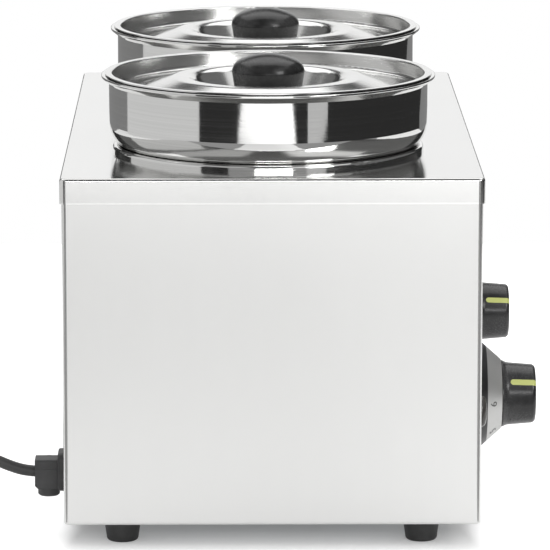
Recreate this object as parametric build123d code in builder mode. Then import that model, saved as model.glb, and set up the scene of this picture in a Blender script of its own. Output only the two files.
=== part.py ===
from build123d import *
from math import acos, atan, cos, pi, radians, sin, sqrt, tan
import os

os.makedirs("parts", exist_ok=True)

# A two-pot soup warmer on four feet. Millimetres, +Z up, the floor is Z = 0.
# The long side runs along X, and the controls face -Y. Pots and lids lift off.

# Sheet thicknesses and gaps
panel_sheet = 1.0
pressing_sheet = 0.8
lift_gap = 0.3
bolt_gap = 0.1
spindle_gap = 0.05

# Housing
cover_length = 500.0
cover_width = 270.0
cover_skirt = 16.4
cover_gap = 0.2
body_height = 225.3
shell_corner = 3.0
bend_radius = 2.0
bottom_flange = 14.0
top_flange = 10.0

# Base plate and its screws, which stand in the bottom flange of the shell
slot_length = 46.0
slot_width = 4.0
slot_step = 14.0
slot_count = 7
base_plate_gap = 0.5
base_screw_diameter = 3.5
base_screw_head = 7.0
base_screw_head_height = 1.4
base_screw_length = 8.0

# Feet, and the screws and nuts that hold them
foot_height = 18.0
foot_top_diameter = 25.5
foot_bottom_diameter = 20.0
foot_edge = 2.5
foot_inset = 38.0
foot_recess_diameter = 11.0
foot_recess_depth = 9.0
foot_screw_diameter = 4.0
foot_screw_head = 8.0
foot_screw_head_height = 2.6
foot_nut_across = 7.0
foot_nut_height = 3.2

# Wells: deep cups with a rolled bead that lies on the cover
well_pitch = 248.0
well_setback = 1.6
well_radius = 97.5
well_corner = 12.0
bead_radius = 2.45
bead_leg = 2.0
water_depth = 20.5
well_hole_gap = 0.5

# Pots
neck_gap = 2.1
pot_flare = 9.4
shoulder_radius = 20.0
neck_radius = 2.0
shoulder_straight = 0.4
pot_wall = 25.9
lip_height = 5.6
lip_reach = 4.9
lip_nose = 1.4
pot_depth = 176.0
pot_corner = 14.0
pot_taper = 2.0

# Lids: a sunken floor, a cone, and a finger recess round the knob
flange_reach = 3.4
lid_side_gap = 0.4
lid_sink = 11.0
lid_floor_width = 15.0
cone_rise = 8.0
crest_radius = 62.0
recess_radius = 50.5
recess_depth = 18.5
recess_floor_radius = 38.0
flange_bend = 1.0
lid_floor_bend = 3.0
cone_foot_bend = 6.0
crest_bend = 9.0
recess_edge_bend = 7.0
recess_floor_bend = 6.0

# Lid knobs
knob_height = 33.4
knob_base_diameter = 41.0
knob_base_edge = 1.5
knob_seam_diameter = 48.0
knob_dome = 11.3
knob_crown_radius = 18.0
knob_crown_drop = 3.8
seam_depth = 0.5
seam_height = 0.6
lid_screw_diameter = 5.0
lid_screw_length = 16.0
lid_screw_head = 9.5
lid_screw_head_height = 3.0

# Controls on the front panel, one set for each well
station_pitch = 293.0
control_rise = 64.8
bezel_radius = 38.2
bezel_slope = 41.5
bezel_edge = 0.8
bezel_wall = 2.2
scale_start = 8.0
scale_end = 18.0
scale_sheet = 1.0
dial_reach = 41.2
dial_base_radius = 22.0
dial_side_radius = 20.7
dial_end_radius = 19.4
dial_edge = 2.6
dial_flare = 3.2
dial_gap = 0.5
dial_dome = 0.6
pointer_width = 3.9
pointer_start = 23.6
pointer_depth = 0.8
pointer_angle = 33.0
pointer_centre_gap = 6.0
spindle_diameter = 6.0
spindle_flat = 1.5
spindle_reach = 30.0
spindle_depth = 12.0
bush_diameter = 10.0
bush_length = 6.0
thermostat_width = 42.0
thermostat_height = 42.0
thermostat_depth = 27.0
thermostat_edge = 3.0
thermostat_bracket = 1.5
thermostat_bracket_height = 25.0
thermostat_screw_spacing = 28.0
panel_screw_diameter = 4.0
panel_screw_head = 7.6
panel_screw_head_height = 2.4
panel_screw_length = 7.0
tab_width = 6.3
tab_thickness = 0.8
tab_length = 7.0

# Signal lamps
lamp_offset = 57.0
lamp_lens_diameter = 20.6
lamp_collar = 1.2
lamp_collar_width = 0.8
lamp_reach = 6.0
lamp_round = 3.0
lamp_body_diameter = 14.6
lamp_body_depth = 24.0
lamp_dome = 0.8
lamp_nut_across = 19.0
lamp_nut_height = 4.0

# Heating under each well
element_diameter = 6.5
element_ring_radius = 58.0
element_gap_angle = 60.0
element_bend = 10.0
element_leg = 18.0
clamp_bar_width = 24.0
clamp_bar_thickness = 3.0
clamp_stud_diameter = 6.0
clamp_nut_across = 10.0
clamp_nut_height = 5.0
cutout_diameter = 15.8
cutout_height = 9.0
cutout_edge = 1.0
cutout_offset = 35.0
bulb_diameter = 6.0
bulb_length = 74.0
bulb_offset = 74.0
capillary_diameter = 1.8
capillary_bend = 5.0
capillary_swing = 15.0
capillary_stand_off = 20.0
capillary_drop = 10.0
clip_spacing = 44.0
clip_length = 10.0
clip_foot = 5.0
clip_sheet = 0.8

# Mains entry at the back, counted from the end of the cover and from the rear face
gland_inset = 60.0
gland_z = 40.4
gland_flange_height = 25.2
gland_flange_width = 24.0
gland_flange_thickness = 5.6
gland_flange_corner = 4.8
gland_flange_edge = 1.5
gland_block_width = 18.0
gland_reach = 20.5
gland_above = 9.3
gland_below = 9.8
gland_split = 3.4
gland_lift = 1.3
gland_round = 2.0
gland_mouth = 1.2
gland_mouth_slope = 30.0
gland_boss_diameter = 14.3
gland_boss_drop = 5.6
gland_boss_out = 11.7
gland_spigot_diameter = 14.0
gland_spigot_length = 9.0
gland_nut_across = 19.0
gland_nut_height = 4.0
gland_screw_diameter = 5.0
gland_screw_head = 9.0
gland_screw_head_height = 3.0
cap_screw_spacing = 11.4
cap_screw_diameter = 2.5
cap_screw_head = 4.4
cap_screw_head_height = 2.0
cap_screw_length = 11.0
terminal_setback = 64.8
terminal_corner = 1.5
terminal_edge = 1.0
terminal_length = 36.0
terminal_width = 22.0
terminal_height = 22.0
terminal_pitch = 11.0
terminal_screw_diameter = 5.6
terminal_screw_height = 5.0
terminal_screw_slot = 1.0
terminal_well_depth = 9.0
cable_inlet_z = 33.0
cable_level_run = 16.0
earth_stud_step = 32.0
earth_stud_setback = 67.8
earth_stud_diameter = 5.0
earth_stud_length = 14.0
earth_nut_across = 8.0
earth_nut_height = 4.0

# Mains cord
cord_diameter = 7.4
coil_radius = 50.0
coil_gap = 0.5
coil_half_turns = 4
tail_run = 46.0
plug_diameter = 37.0
plug_length = 34.0
plug_neck_diameter = 14.0
plug_neck_length = 24.0
plug_edge = 1.5
plug_round = 4.0
plug_pin_diameter = 4.8
plug_pin_length = 19.0
plug_pin_spacing = 19.0

# How the mains cord lies, from inside the cord grip to the coil: steps along the housing
# from the grip, steps back from the rear face, and heights above the floor
bend_share = 0.45
cord_steps = [
    (0.0, 11.2, gland_z),
    (0.0, 21.0, gland_z),
    (0.0, 32.7, gland_z + 2.0),
    (0.7, 48.2, gland_z + 8.5),
    (4.7, 64.7, gland_z + 16.4),
    (15.0, 80.7, gland_z + 21.3),
    (32.5, 92.7, gland_z + 18.8),
    (54.0, 98.2, gland_z + 9.6),
    (77.0, 99.7, 37.0),
    (100.5, 99.2, 23.5),
    (124.5, 98.0, 11.5),
    (148.5, 96.5, 4.6),
    (171.5, 96.2, cord_diameter / 2),
    (191.0, 96.2, cord_diameter / 2),
]

# Places that follow from the sizes above
plate_z = foot_height + body_height
shell_length = cover_length - 2 * (panel_sheet + cover_gap)
shell_width = cover_width - 2 * (panel_sheet + cover_gap)
shell_height = body_height - panel_sheet
front_y = -shell_width / 2
rear_y = shell_width / 2
well_spots = [(-well_pitch / 2, well_setback), (well_pitch / 2, well_setback)]
station_spots = [-station_pitch / 2, station_pitch / 2]
foot_step_x = shell_length - 2 * (foot_inset - panel_sheet - cover_gap)
foot_step_y = shell_width - 2 * (foot_inset - panel_sheet - cover_gap)
base_screw_x = shell_length / 3
base_screw_y = shell_width - bottom_flange
gland_x = gland_inset - cover_length / 2
cord_points = [(gland_x + along, rear_y + back, height) for along, back, height in cord_steps]
terminal_spot = (gland_x, rear_y - terminal_setback)
earth_stud_spot = (gland_x + earth_stud_step, rear_y - earth_stud_setback)
control_z = foot_height + control_rise
base_z = foot_height + panel_sheet
base_top_z = base_z + panel_sheet

# The origin stands under the middle of the whole depth, from the dials to the cord grip
middle_y = (dial_reach - gland_reach) / 2

# How a pot sits: its round shoulder rests on the bead of the well
bead_centre_radius = well_radius + bead_radius
pot_neck = well_radius - neck_gap
pot_radius = pot_neck + pot_flare
shoulder_span = bead_centre_radius - (pot_radius - shoulder_radius)
shoulder_rise = sqrt((shoulder_radius + bead_radius + lift_gap) ** 2 - shoulder_span ** 2)
shoulder_z = plate_z + bead_leg + shoulder_rise
arc_sum = shoulder_radius + neck_radius
shoulder_turn = acos((arc_sum - pot_flare) / sqrt(arc_sum ** 2 + shoulder_straight ** 2)) \
    - atan(shoulder_straight / arc_sum)
lip_under_z = shoulder_z + pot_wall
lip_top_z = lip_under_z + lip_height
pot_bottom_z = lip_top_z - pot_depth
well_floor_z = pot_bottom_z - water_depth
well_under_z = well_floor_z - pressing_sheet

# Levels of the lid, above the lip of the pot
lid_top_z = lip_top_z + lift_gap + pressing_sheet
lid_floor_z = lid_top_z - lid_sink
crest_z = lid_floor_z + cone_rise
recess_z = crest_z - recess_depth
lid_wall_radius = pot_radius - pressing_sheet - lid_side_gap - pressing_sheet

# Heating levels under a well
element_z = well_under_z - bolt_gap - element_diameter / 2
clamp_top_z = element_z - element_diameter / 2 - bolt_gap
clamp_under_z = clamp_top_z - clamp_bar_thickness


def level(x=0.0, y=0.0, z=0.0):
    """Horizontal plane at a point counted from the middle of the housing."""
    return Plane(origin=(x, middle_y + y, z))


def upright(x, y, z=0.0):
    """Plane through a vertical axis: its X is the radius and its Y the height."""
    return Plane(origin=(x, middle_y + y, z), x_dir=(1, 0, 0), z_dir=(0, -1, 0))


def upright_axis(x, y):
    return Axis((x, middle_y + y, 0), (0, 0, 1))


def front(x, z, out=0.0):
    """Plane on the front panel's face, seen from the front, or a step out from it."""
    return Plane(origin=(x, middle_y + front_y - out, z), x_dir=(1, 0, 0), z_dir=(0, -1, 0))


def control_profile(x, z):
    """Plane through a control's axis: its X is the radius and its Y the way out."""
    return Plane(origin=(x, middle_y + front_y, z), x_dir=(1, 0, 0), z_dir=(0, 0, -1))


def control_axis(x, z):
    return Axis((x, middle_y + front_y, z), (0, -1, 0))


def rear(x, z, out=0.0):
    """Plane on the rear panel's face, seen from the back, or a step out from it."""
    return Plane(origin=(x, middle_y + rear_y + out, z), x_dir=(-1, 0, 0), z_dir=(0, 1, 0))


def save(piece, name):
    piece.part.label = name
    export_step(piece.part, f"parts/{name}.step")


# Top cover
def make_top_cover():
    outer_corner = shell_corner + cover_gap + panel_sheet
    with BuildPart() as cover:
        with BuildSketch(level(z=plate_z - cover_skirt)):
            RectangleRounded(cover_length, cover_width, outer_corner)
        extrude(amount=cover_skirt)
        fillet(cover.faces().sort_by(Axis.Z)[-1].edges(), radius=bend_radius)
        offset(amount=-panel_sheet, openings=cover.faces().sort_by(Axis.Z)[0])
        with BuildSketch(level(z=plate_z)):
            with Locations(*well_spots):
                Circle(well_radius + pressing_sheet + well_hole_gap)
        extrude(amount=-panel_sheet, mode=Mode.SUBTRACT)
    save(cover, "top_cover")


# Body shell
def make_body_shell():
    inner_corner = shell_corner - panel_sheet
    with BuildPart() as shell:
        with BuildSketch(level(z=foot_height)):
            RectangleRounded(shell_length, shell_width, shell_corner)
        extrude(amount=shell_height)
        ends = shell.faces().filter_by(Axis.Z)
        fillet(ends.edges(), radius=bend_radius)
        with BuildSketch(level(z=base_z)):
            RectangleRounded(shell_length - 2 * panel_sheet, shell_width - 2 * panel_sheet, inner_corner)
        extrude(amount=shell_height - 2 * panel_sheet, mode=Mode.SUBTRACT)
        with BuildSketch(level(z=foot_height)):
            Rectangle(shell_length - 2 * bottom_flange, shell_width - 2 * bottom_flange)
            with GridLocations(base_screw_x, base_screw_y, 3, 2):
                Circle(base_screw_diameter / 2 + bolt_gap)
        extrude(amount=panel_sheet, mode=Mode.SUBTRACT)
        with BuildSketch(level(z=plate_z - panel_sheet)):
            Rectangle(shell_length - 2 * top_flange, shell_width - 2 * top_flange)
        extrude(amount=-panel_sheet, mode=Mode.SUBTRACT)
        for x in station_spots:
            with BuildSketch(front(x, control_z)):
                Circle(bush_diameter / 2 + bolt_gap)
                with Locations((-thermostat_screw_spacing / 2, 0), (thermostat_screw_spacing / 2, 0)):
                    Circle(panel_screw_diameter / 2 + bolt_gap)
                with Locations((-lamp_offset, 0)):
                    Circle(lamp_body_diameter / 2 + bolt_gap)
            extrude(amount=-panel_sheet, mode=Mode.SUBTRACT)
        with BuildSketch(rear(gland_x, gland_z)):
            Circle(gland_spigot_diameter / 2 + bolt_gap)
        extrude(amount=-panel_sheet, mode=Mode.SUBTRACT)
    save(shell, "body_shell")


# Base plate with cooling slots under each well
def make_base_plate():
    plate_length = shell_length - 2 * (panel_sheet + base_plate_gap)
    plate_width = shell_width - 2 * (panel_sheet + base_plate_gap)
    with BuildPart() as plate:
        with BuildSketch(level(z=base_z)):
            RectangleRounded(plate_length, plate_width, shell_corner)
            with Locations(*well_spots):
                with GridLocations(0, slot_step, 1, slot_count):
                    SlotOverall(slot_length, slot_width, mode=Mode.SUBTRACT)
            with GridLocations(foot_step_x, foot_step_y, 2, 2):
                Circle(foot_screw_diameter / 2 + bolt_gap, mode=Mode.SUBTRACT)
            with GridLocations(base_screw_x, base_screw_y, 3, 2):
                Circle(base_screw_diameter / 2 + bolt_gap, mode=Mode.SUBTRACT)
            with Locations(earth_stud_spot):
                Circle(earth_stud_diameter / 2 + bolt_gap, mode=Mode.SUBTRACT)
        extrude(amount=panel_sheet)
    save(plate, "base_plate")


def make_base_screws():
    with BuildPart() as screws:
        with BuildSketch(level(z=foot_height)):
            with GridLocations(base_screw_x, base_screw_y, 3, 2):
                Circle(base_screw_head / 2)
        extrude(amount=-base_screw_head_height)
        chamfer(screws.faces().group_by(Axis.Z)[0].edges(), length=base_screw_head_height / 2)
        with BuildSketch(level(z=foot_height)):
            with GridLocations(base_screw_x, base_screw_y, 3, 2):
                Circle(base_screw_diameter / 2)
        extrude(amount=base_screw_length)
    save(screws, "base_screws")


# Feet, each held by a screw that stands in its recess
def make_feet():
    foot_length = foot_height + panel_sheet
    bore = foot_screw_diameter / 2 + bolt_gap
    number = 0
    for x in (-foot_step_x / 2, foot_step_x / 2):
        for y in (-foot_step_y / 2, foot_step_y / 2):
            number += 1
            with BuildPart() as foot:
                with BuildSketch(upright(x, y)):
                    with BuildLine():
                        FilletPolyline(
                            (foot_recess_diameter / 2, 0),
                            (foot_bottom_diameter / 2, 0),
                            (foot_top_diameter / 2, foot_length),
                            (bore, foot_length),
                            (bore, foot_recess_depth),
                            (foot_recess_diameter / 2, foot_recess_depth),
                            radius=[0, foot_edge, 0, 0, 0, 0],
                            close=True,
                        )
                    make_face()
                revolve(axis=upright_axis(x, y))
            save(foot, f"foot_{number}")


def make_foot_screws():
    screw_top = base_top_z + foot_nut_height + panel_sheet
    with BuildPart() as screws:
        with BuildSketch(level(z=foot_recess_depth)):
            with GridLocations(foot_step_x, foot_step_y, 2, 2):
                Circle(foot_screw_head / 2)
        extrude(amount=-foot_screw_head_height)
        with BuildSketch(level(z=foot_recess_depth)):
            with GridLocations(foot_step_x, foot_step_y, 2, 2):
                Circle(foot_screw_diameter / 2)
        extrude(amount=screw_top - foot_recess_depth)
        with BuildSketch(level(z=base_top_z)):
            with GridLocations(foot_step_x, foot_step_y, 2, 2):
                RegularPolygon(foot_nut_across / 2, 6, major_radius=False)
        extrude(amount=foot_nut_height)
    save(screws, "foot_screws")


# Wells
def make_well(number, x, y):
    bead_top = (bead_centre_radius, plate_z + bead_leg + bead_radius)
    bead_outer = well_radius + 2 * bead_radius
    with BuildPart() as well:
        with BuildSketch(upright(x, y)):
            with BuildLine():
                leg = Line((bead_outer, plate_z), (bead_outer, plate_z + bead_leg))
                crown = ThreePointArc(leg @ 1, bead_top, (well_radius, plate_z + bead_leg))
                FilletPolyline(crown @ 1, (well_radius, well_floor_z), (0, well_floor_z), radius=well_corner)
                offset(amount=pressing_sheet, side=Side.LEFT)
            make_face()
        revolve(axis=upright_axis(x, y))
    save(well, f"well_{number}")


# Pots
def make_pot(number, x, y):
    turn_z = shoulder_z - shoulder_radius * tan(shoulder_turn / 2)
    neck_z = turn_z - pot_flare / tan(shoulder_turn)
    inner = pot_radius - pressing_sheet
    lip_outer = pot_radius + lip_reach
    with BuildPart() as pot:
        with BuildSketch(upright(x, y)):
            with BuildLine():
                FilletPolyline(
                    (pot_radius, lip_under_z + lip_nose),
                    (pot_radius, turn_z),
                    (pot_neck, neck_z),
                    (pot_neck - pot_taper, pot_bottom_z),
                    (0, pot_bottom_z),
                    radius=[shoulder_radius, neck_radius, pot_corner],
                )
                offset(amount=pressing_sheet, side=Side.RIGHT)
            make_face()
            with BuildLine():
                FilletPolyline(
                    (inner, lip_under_z),
                    (pot_radius, lip_under_z),
                    (lip_outer, lip_top_z - lip_nose - lift_gap),
                    (lip_outer, lip_top_z - lift_gap),
                    (inner, lip_top_z),
                    radius=[0, 0, lip_nose / 2, lip_nose / 3, lip_nose / 3],
                    close=True,
                )
            make_face()
        revolve(axis=upright_axis(x, y))
    save(pot, f"pot_{number}")


# Lids
def make_lid(number, x, y):
    floor_outer = lid_wall_radius - pressing_sheet / 2
    with BuildPart() as lid:
        with BuildSketch(upright(x, y)):
            with BuildLine():
                FilletPolyline(
                    (pot_radius - pressing_sheet + flange_reach, lid_top_z),
                    (lid_wall_radius, lid_top_z),
                    (floor_outer, lid_floor_z),
                    (floor_outer - lid_floor_width, lid_floor_z),
                    (crest_radius, crest_z),
                    (recess_radius, crest_z),
                    (recess_floor_radius, recess_z),
                    (lid_screw_diameter / 2 + bolt_gap, recess_z),
                    radius=[
                        flange_bend,
                        lid_floor_bend,
                        cone_foot_bend,
                        crest_bend,
                        recess_edge_bend,
                        recess_floor_bend,
                    ],
                )
                offset(amount=pressing_sheet, side=Side.LEFT)
            make_face()
        revolve(axis=upright_axis(x, y))
    save(lid, f"lid_{number}")


def make_lid_knob(number, x, y):
    seam_z = recess_z + knob_height - knob_dome
    seam_radius = knob_seam_diameter / 2
    top_z = recess_z + knob_height
    bore = lid_screw_diameter / 2 + spindle_gap
    with BuildPart() as knob:
        with BuildSketch(upright(x, y)):
            with BuildLine():
                base = FilletPolyline(
                    (bore, recess_z),
                    (knob_base_diameter / 2, recess_z),
                    (seam_radius, seam_z - seam_height),
                    (seam_radius - seam_depth, seam_z - seam_height),
                    (seam_radius - seam_depth, seam_z),
                    (seam_radius, seam_z),
                    radius=[knob_base_edge, 0, 0, 0],
                )
                dome = TangentArc((0, top_z), (knob_crown_radius, top_z - knob_crown_drop), tangent=(1, 0))
                TangentArc(dome @ 1, base @ 1, tangent=dome % 1)
                Polyline(
                    (0, top_z),
                    (0, recess_z + lid_screw_length + spindle_gap),
                    (bore, recess_z + lid_screw_length + spindle_gap),
                    base @ 0,
                )
            make_face()
        revolve(axis=upright_axis(x, y))
    save(knob, f"lid_knob_{number}")


def make_lid_screw(number, x, y):
    under_z = recess_z - pressing_sheet
    with BuildPart() as screw:
        with BuildSketch(level(x, y, under_z)):
            Circle(lid_screw_head / 2)
        extrude(amount=-lid_screw_head_height)
        fillet(screw.faces().sort_by(Axis.Z)[0].edges(), radius=lid_screw_head_height / 3)
        with BuildSketch(level(x, y, under_z)):
            Circle(lid_screw_diameter / 2)
        extrude(amount=pressing_sheet + lid_screw_length)
    save(screw, f"lid_screw_{number}")


# Thermostats, spindles and dials
def make_thermostat(number, x):
    inner_face = -panel_sheet
    bracket_face = inner_face - thermostat_bracket
    with BuildPart() as thermostat:
        with BuildSketch(front(x, control_z, inner_face)):
            RectangleRounded(thermostat_width, thermostat_bracket_height, thermostat_edge)
            with Locations((-thermostat_screw_spacing / 2, 0), (thermostat_screw_spacing / 2, 0)):
                Circle(panel_screw_diameter / 2 + bolt_gap, mode=Mode.SUBTRACT)
        extrude(amount=-thermostat_bracket)
        with BuildSketch(front(x, control_z, bracket_face)):
            Rectangle(thermostat_width, thermostat_height)
        extrude(amount=-(thermostat_depth - thermostat_bracket))
        chamfer(thermostat.edges().filter_by(Axis.Y).group_by(SortBy.LENGTH)[-1], length=thermostat_edge)
        with BuildSketch(front(x, control_z, inner_face)):
            Circle(bush_diameter / 2)
        extrude(amount=bush_length + panel_sheet)
        with BuildSketch(front(x, control_z, bush_length)):
            Circle(spindle_diameter / 2 + spindle_gap)
        extrude(amount=-(bush_length + spindle_depth), mode=Mode.SUBTRACT)
        for side in (-1, 1):
            with BuildSketch(front(x, control_z, bracket_face)):
                with Locations((side * thermostat_screw_spacing / 2, 0)):
                    Circle(panel_screw_diameter / 2 + bolt_gap)
            extrude(amount=-panel_screw_length, mode=Mode.SUBTRACT)
        with BuildSketch(front(x, control_z, inner_face - thermostat_depth)):
            with GridLocations(thermostat_width / 2, thermostat_height / 2, 2, 2):
                Rectangle(tab_width, tab_thickness)
        extrude(amount=-tab_length)
    save(thermostat, f"thermostat_{number}")


def make_panel_screws():
    with BuildPart() as screws:
        for x in station_spots:
            with BuildSketch(front(x, control_z)):
                with Locations((-thermostat_screw_spacing / 2, 0), (thermostat_screw_spacing / 2, 0)):
                    Circle(panel_screw_head / 2)
            extrude(amount=panel_screw_head_height)
            with BuildSketch(front(x, control_z)):
                with Locations((-thermostat_screw_spacing / 2, 0), (thermostat_screw_spacing / 2, 0)):
                    Circle(panel_screw_diameter / 2)
            extrude(amount=-panel_screw_length)
    save(screws, "panel_screws")


def cone_radius(out):
    """Radius of the bezel's slope at a step out from the panel."""
    return bezel_radius - (out - bezel_edge) * tan(radians(bezel_slope))


def make_bezel(number, x):
    seat = scale_sheet / cos(radians(bezel_slope))
    tip = scale_end - scale_sheet
    with BuildPart() as bezel:
        with BuildSketch(control_profile(x, control_z)):
            with BuildLine():
                Polyline(
                    (bezel_radius, 0),
                    (bezel_radius, bezel_edge),
                    (cone_radius(scale_start), scale_start),
                    (cone_radius(scale_start) - seat, scale_start),
                    (cone_radius(tip) - seat, tip),
                    (cone_radius(tip) - seat - bezel_wall, tip),
                    (bezel_radius - seat - bezel_wall, bezel_edge),
                    (bezel_radius - seat - bezel_wall, 0),
                    close=True,
                )
            make_face()
        revolve(axis=control_axis(x, control_z))
    save(bezel, f"bezel_{number}")
    with BuildPart() as scale:
        with BuildSketch(control_profile(x, control_z)):
            with BuildLine():
                Polyline(
                    (cone_radius(scale_start), scale_start),
                    (cone_radius(scale_end), scale_end),
                    (cone_radius(scale_end) - seat, scale_end),
                    (cone_radius(scale_start) - seat, scale_start),
                    close=True,
                )
            make_face()
        revolve(axis=control_axis(x, control_z))
    save(scale, f"scale_ring_{number}")


def pointer_frame(x):
    """Plane whose normal points along the pointer, out through the side of the dial."""
    angle = radians(pointer_angle)
    return Plane(
        origin=(x, middle_y + front_y, control_z),
        x_dir=(0, -1, 0),
        z_dir=(-cos(angle), 0, sin(angle)),
    )


def dial_line():
    """Outline of the dial from its foot to the middle of its face."""
    foot = scale_end + dial_gap
    shoulder = dial_reach - dial_dome - dial_edge
    body = FilletPolyline(
        (dial_base_radius, foot),
        (dial_base_radius, foot + dial_gap),
        (dial_side_radius, foot + dial_flare),
        (dial_end_radius, shoulder),
        radius=[0, dial_flare * 2],
    )
    face = TangentArc((0, dial_reach), (dial_end_radius - dial_edge, dial_reach - dial_dome), tangent=(1, 0))
    TangentArc(face @ 1, body @ 1, tangent=face % 1)


def make_dial(number, x):
    foot = scale_end + dial_gap
    hub_radius = spindle_diameter
    bore = spindle_diameter / 2 + spindle_gap
    half = pointer_width / 2
    beyond = dial_reach + dial_edge
    with BuildPart() as groove:
        with BuildSketch(pointer_frame(x)):
            with BuildLine():
                sides = Polyline(
                    (pointer_start + half, half),
                    (beyond, half),
                    (beyond, -half),
                    (pointer_start + half, -half),
                )
                ThreePointArc(sides @ 1, (pointer_start, 0), sides @ 0)
            make_face()
        extrude(amount=beyond)
        with BuildSketch(pointer_frame(x)):
            with Locations((dial_reach / 2, 0)):
                Rectangle(dial_reach * 2, dial_base_radius * 2)
        extrude(amount=pointer_centre_gap, mode=Mode.SUBTRACT)
    with BuildPart() as band:
        with BuildSketch(control_profile(x, control_z)):
            with BuildLine():
                dial_line()
                Line((0, dial_reach), (0, foot))
                Line((0, foot), (dial_base_radius, foot))
            make_face()
        revolve(axis=control_axis(x, control_z))
        with BuildSketch(control_profile(x, control_z)):
            with BuildLine():
                Polyline(
                    (0, 0),
                    (dial_side_radius - pointer_depth, 0),
                    (dial_end_radius - pointer_depth, dial_reach - dial_edge - pointer_depth),
                    (dial_end_radius - dial_edge, dial_reach - dial_dome - pointer_depth),
                    (0, dial_reach - dial_dome - pointer_depth),
                    close=True,
                )
            make_face()
        revolve(axis=control_axis(x, control_z), mode=Mode.SUBTRACT)
        add(groove.part, mode=Mode.INTERSECT)
    save(band, f"dial_pointer_{number}")
    with BuildPart() as dial:
        with BuildSketch(control_profile(x, control_z)):
            with BuildLine():
                dial_line()
                Line((0, dial_reach), (0, spindle_reach + bolt_gap))
                Polyline(
                    (0, spindle_reach + bolt_gap),
                    (bore, spindle_reach + bolt_gap),
                    (bore, bush_length + lift_gap),
                    (hub_radius, bush_length + lift_gap),
                    (hub_radius, foot),
                    (dial_base_radius, foot),
                )
            make_face()
        revolve(axis=control_axis(x, control_z))
        add(band.part, mode=Mode.SUBTRACT)
    save(dial, f"dial_{number}")


def make_spindle(number, x):
    flat_start = scale_end
    with BuildPart() as spindle:
        with BuildSketch(front(x, control_z, -spindle_depth + spindle_gap)):
            Circle(spindle_diameter / 2)
        extrude(amount=spindle_reach + spindle_depth - spindle_gap)
        with BuildSketch(front(x, control_z, flat_start)):
            with Locations((0, spindle_diameter - spindle_flat)):
                Rectangle(spindle_diameter, spindle_diameter)
        extrude(amount=spindle_reach - flat_start, mode=Mode.SUBTRACT)
    save(spindle, f"spindle_{number}")


# Signal lamps
def make_lamp(number, x):
    lens_radius = lamp_lens_diameter / 2
    crown = lens_radius - lamp_round
    with BuildPart() as lens:
        with BuildSketch(control_profile(x, control_z)):
            with BuildLine():
                side = Polyline(
                    (0, 0),
                    (lens_radius + lamp_collar_width, 0),
                    (lens_radius + lamp_collar_width, lamp_collar),
                    (lens_radius, lamp_collar),
                    (lens_radius, lamp_reach - lamp_round - lamp_dome),
                )
                dome = TangentArc((0, lamp_reach), (crown, lamp_reach - lamp_dome), tangent=(1, 0))
                TangentArc(dome @ 1, side @ 1, tangent=dome % 1)
                Line((0, lamp_reach), (0, 0))
            make_face()
        revolve(axis=control_axis(x, control_z))
    save(lens, f"lamp_lens_{number}")
    with BuildPart() as holder:
        with BuildSketch(front(x, control_z)):
            Circle(lamp_body_diameter / 2)
        extrude(amount=-lamp_body_depth)
        with BuildSketch(front(x, control_z, -lamp_body_depth)):
            with Locations((-lamp_body_diameter / 4, 0), (lamp_body_diameter / 4, 0)):
                Rectangle(tab_thickness, tab_width / 2)
        extrude(amount=-tab_length)
    save(holder, f"lamp_body_{number}")


def make_lamp_nuts():
    with BuildPart() as nuts:
        for x in station_spots:
            with BuildSketch(front(x - lamp_offset, control_z, -panel_sheet)):
                RegularPolygon(lamp_nut_across / 2, 6, major_radius=False)
                Circle(lamp_body_diameter / 2 + bolt_gap, mode=Mode.SUBTRACT)
            extrude(amount=-lamp_nut_height)
    save(nuts, "lamp_nuts")


# Heating element: an open ring pressed to the well, its two legs turned down
def make_heater(number, x, y):
    ring_start = -90 + element_gap_angle / 2
    down = Vector(0, 0, -1)
    centre = (x, middle_y + y, element_z)
    with BuildPart() as heater:
        with BuildLine():
            ring = CenterArc(centre, element_ring_radius, ring_start, 360 - element_gap_angle)
            first = ring @ 0 - ring % 0 * element_bend + down * element_bend
            last = ring @ 1 + ring % 1 * element_bend + down * element_bend
            Line(first + down * element_leg, first)
            TangentArc(first, ring @ 0, tangent=-down)
            TangentArc(ring @ 1, last, tangent=ring % 1)
            Line(last, last + down * element_leg)
        with BuildSketch(Plane(origin=first + down * element_leg, z_dir=-down)):
            Circle(element_diameter / 2)
        sweep()
    save(heater, f"heater_{number}")


# The bar that presses the ring to the well
def make_clamp_bar(number, x, y):
    with BuildPart() as bar:
        with BuildSketch(level(x, y, clamp_top_z)):
            SlotOverall(2 * (element_ring_radius + element_diameter), clamp_bar_width)
            Circle(clamp_stud_diameter / 2 + bolt_gap, mode=Mode.SUBTRACT)
        extrude(amount=-clamp_bar_thickness)
    save(bar, f"clamp_bar_{number}")


# A stud on each well floor with the nut that tightens the bar
def make_clamp_bolts():
    stud_length = well_under_z - clamp_under_z + clamp_nut_height + clamp_bar_thickness
    with BuildPart() as bolts:
        with BuildSketch(level(z=well_under_z)):
            with Locations(*well_spots):
                Circle(clamp_stud_diameter / 2)
        extrude(amount=-stud_length)
        chamfer(bolts.faces().group_by(Axis.Z)[0].edges(), length=clamp_stud_diameter / 8)
        with BuildSketch(level(z=clamp_under_z)):
            with Locations(*well_spots):
                RegularPolygon(clamp_nut_across / 2, 6, major_radius=False)
        extrude(amount=-clamp_nut_height)
    save(bolts, "clamp_bolts")


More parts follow.
